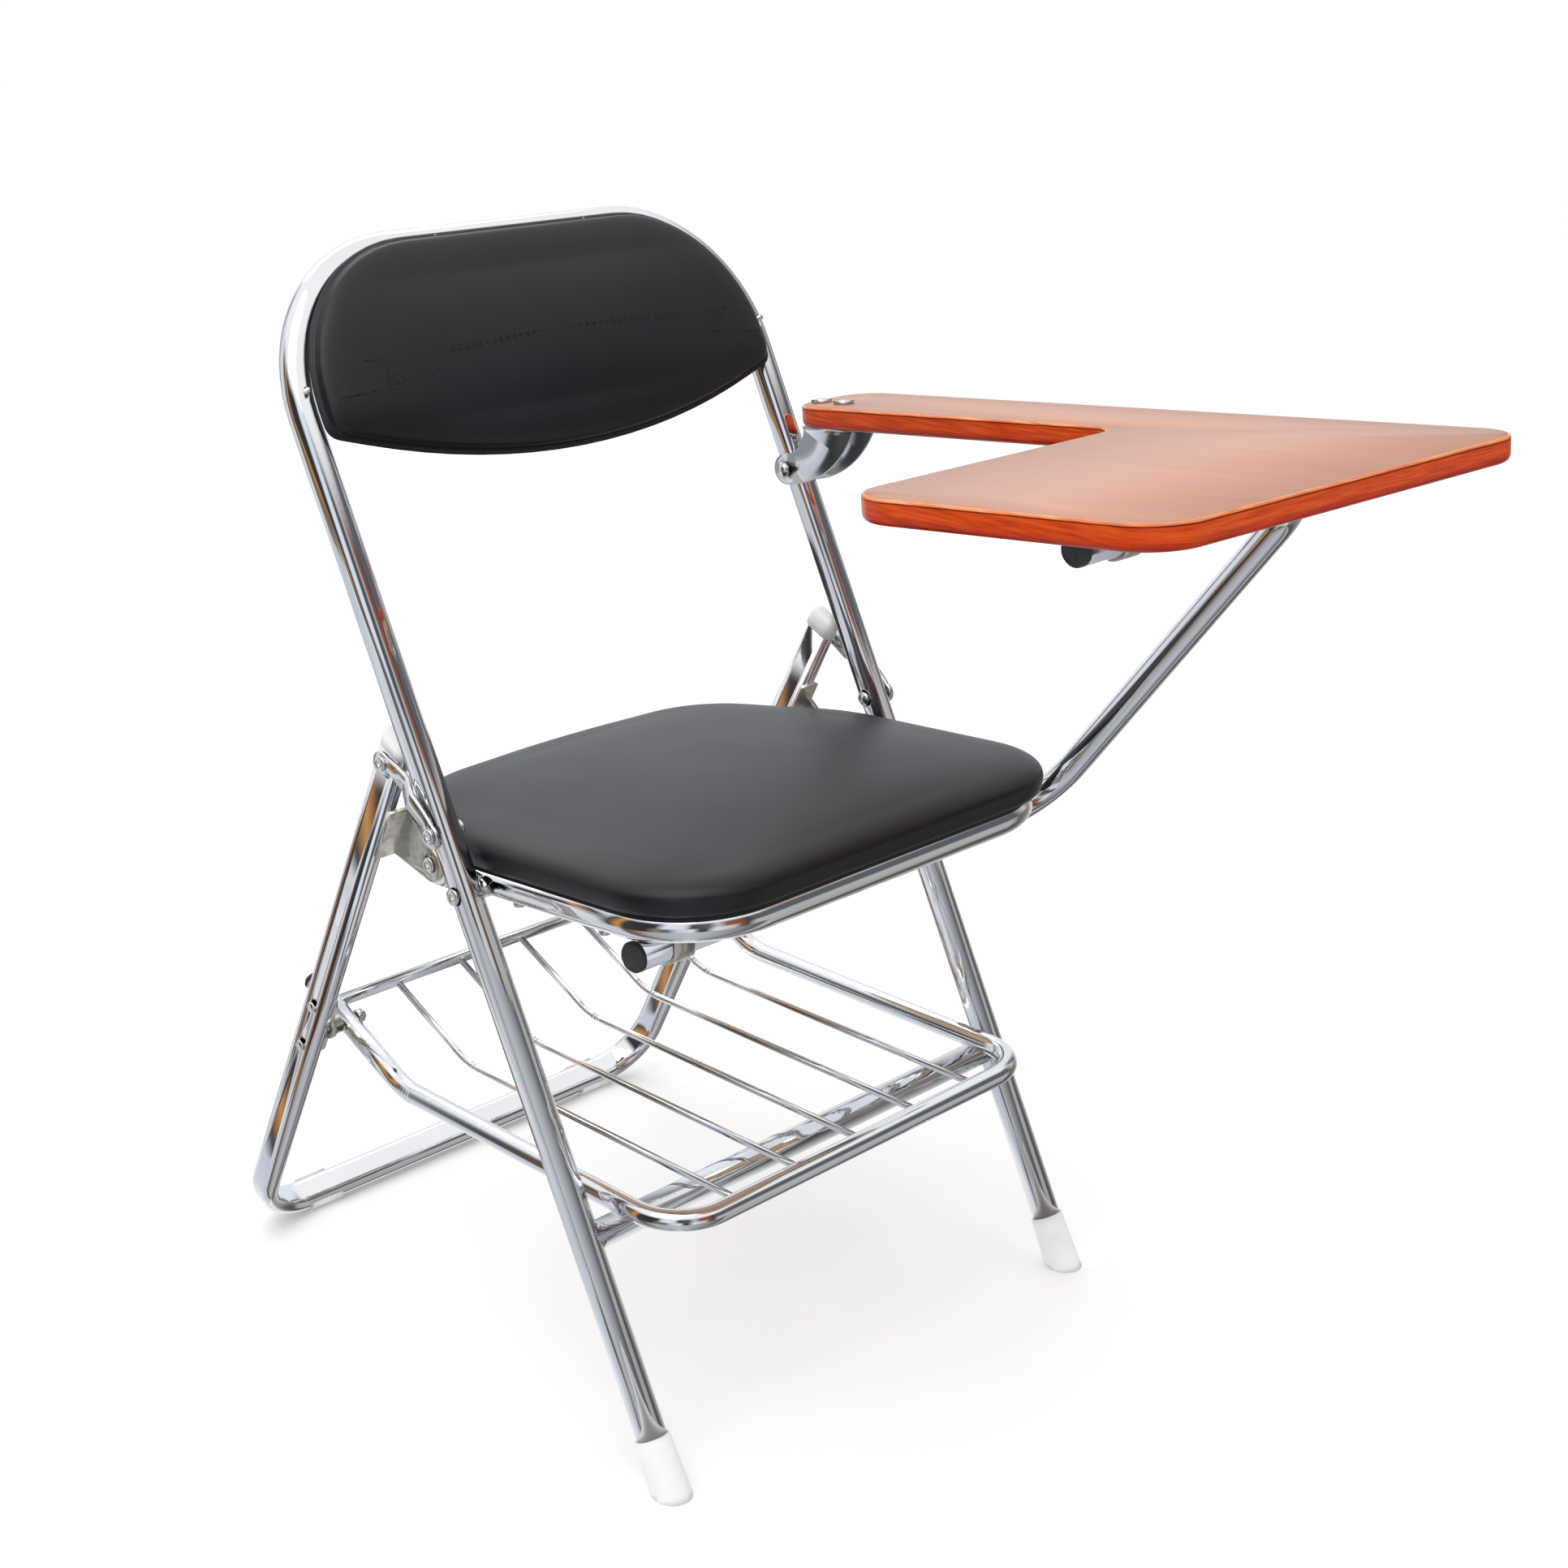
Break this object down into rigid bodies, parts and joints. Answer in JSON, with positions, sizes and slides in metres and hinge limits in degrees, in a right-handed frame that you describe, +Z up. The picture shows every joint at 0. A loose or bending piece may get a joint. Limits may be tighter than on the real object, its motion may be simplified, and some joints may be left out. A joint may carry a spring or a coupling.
{
  "type": "student desk chair",
  "caption": "Folding tube-frame student chair with padded seat and back, a fold-up writing tablet on the sitter's left and a wire book basket under the seat.",
  "frame": {"origin": "centre of the bounding box on the floor", "axes": "+X towards the sitter's left where the tablet hinges, +Y towards the back, +Z up; the chair faces -Y"},
  "size_m": [0.5098, 0.8279, 0.8146],
  "materials": {
    "chrome_tube": "bright chrome plated steel tube",
    "chrome_wire": "bright chrome plated steel rod",
    "chrome_hardware": "bright plated steel rivets, screws and nuts",
    "chrome_bracket": "chrome plated pressed steel",
    "white_plastic": "white moulded plastic",
    "black_vinyl": "black leather-look vinyl over foam",
    "plywood": "raw plywood",
    "zinc_plate": "zinc plated steel, slightly yellow",
    "black_rubber": "black rubber plug",
    "wood_laminate": "pinkish brown wood-grain laminate, satin",
    "varnished_edge": "varnished reddish wood edge, rounded"
  },
  "bodies": {
    "main": {"main_frame": "chrome_tube", "front_cross_tube": "chrome_tube", "foot_caps": "white_plastic", "backrest_board": "black_vinyl", "backrest_pad": "black_vinyl", "backrest_screws": "chrome_hardware", "seat_pivot_rivets": "chrome_hardware", "pivot_spacers": "chrome_hardware", "link_pivot_rivets": "chrome_hardware"},
    "seat": {"seat_frame": "chrome_tube", "seat_board": "plywood", "seat_pad": "black_vinyl", "seat_screws": "chrome_hardware", "support_clips": "zinc_plate", "clip_screws": "chrome_hardware"},
    "rear": {"rear_frame": "chrome_tube", "rear_caps": "white_plastic", "floor_glides": "white_plastic", "seat_brackets": "zinc_plate", "seat_bracket_rivets": "chrome_hardware", "basket_brackets": "zinc_plate", "bracket_rivets": "chrome_hardware", "basket_bolts": "chrome_hardware", "basket_nuts": "chrome_hardware"},
    "links": {"link_left": "chrome_bracket", "link_right": "chrome_bracket", "link_end_rivets": "chrome_hardware"},
    "support": {"support_tube": "chrome_tube", "support_plugs": "black_rubber"},
    "tablet": {"tablet_board": "wood_laminate", "tablet_edge": "varnished_edge", "tablet_bracket": "chrome_bracket", "tablet_bolts": "chrome_hardware", "tablet_nuts": "chrome_hardware", "hinge_bolt": "chrome_hardware", "hinge_nut": "chrome_hardware", "tablet_clips": "zinc_plate", "tablet_clip_screws": "chrome_hardware"},
    "basket": {"basket_frame": "chrome_tube", "basket_rear_rod": "chrome_wire", "basket_wires": "chrome_wire", "basket_plugs": "black_rubber"}
  },
  "joints": [
    {"name": "seat_fold", "type": "hinge", "parent": "main", "child": "seat", "pos_m": [-0.02205, 0.08211, 0.39522], "axis": [1, 0, 0], "range_deg": [-108, 0]},
    {"name": "rear_fold", "type": "hinge", "parent": "seat", "child": "rear", "pos_m": [-0.02205, 0.143, 0.395], "axis": [1, 0, 0], "range_deg": [0, 59.2]},
    {"name": "link_swing", "type": "hinge", "parent": "main", "child": "links", "pos_m": [-0.02205, 0.10204, 0.43501], "axis": [1, 0, 0], "range_deg": [-99.28, 0]},
    {"name": "support_swing", "type": "hinge", "parent": "seat", "child": "support", "pos_m": [-0.02205, -0.0538, 0.379], "axis": [1, 0, 0], "range_deg": [0, 183.8]},
    {"name": "tablet_tilt", "type": "hinge", "parent": "support", "child": "tablet", "pos_m": [-0.02205, -0.2758, 0.665], "axis": [1, 0, 0], "range_deg": [-41.1, 0]},
    {"name": "basket_swing", "type": "hinge", "parent": "rear", "child": "basket", "pos_m": [-0.02205, 0.2822, 0.2215], "axis": [1, 0, 0], "range_deg": [-44.09, 0]}
  ],
  "couplings": [
    {"joint": "rear_fold", "follows": "seat_fold", "ratio": -0.5389},
    {"joint": "link_swing", "follows": "seat_fold", "ratio": 0.91},
    {"joint": "support_swing", "follows": "seat_fold", "ratio": -1.6926},
    {"joint": "tablet_tilt", "follows": "seat_fold", "ratio": 0.3713},
    {"joint": "basket_swing", "follows": "seat_fold", "ratio": 0.399}
  ]
}
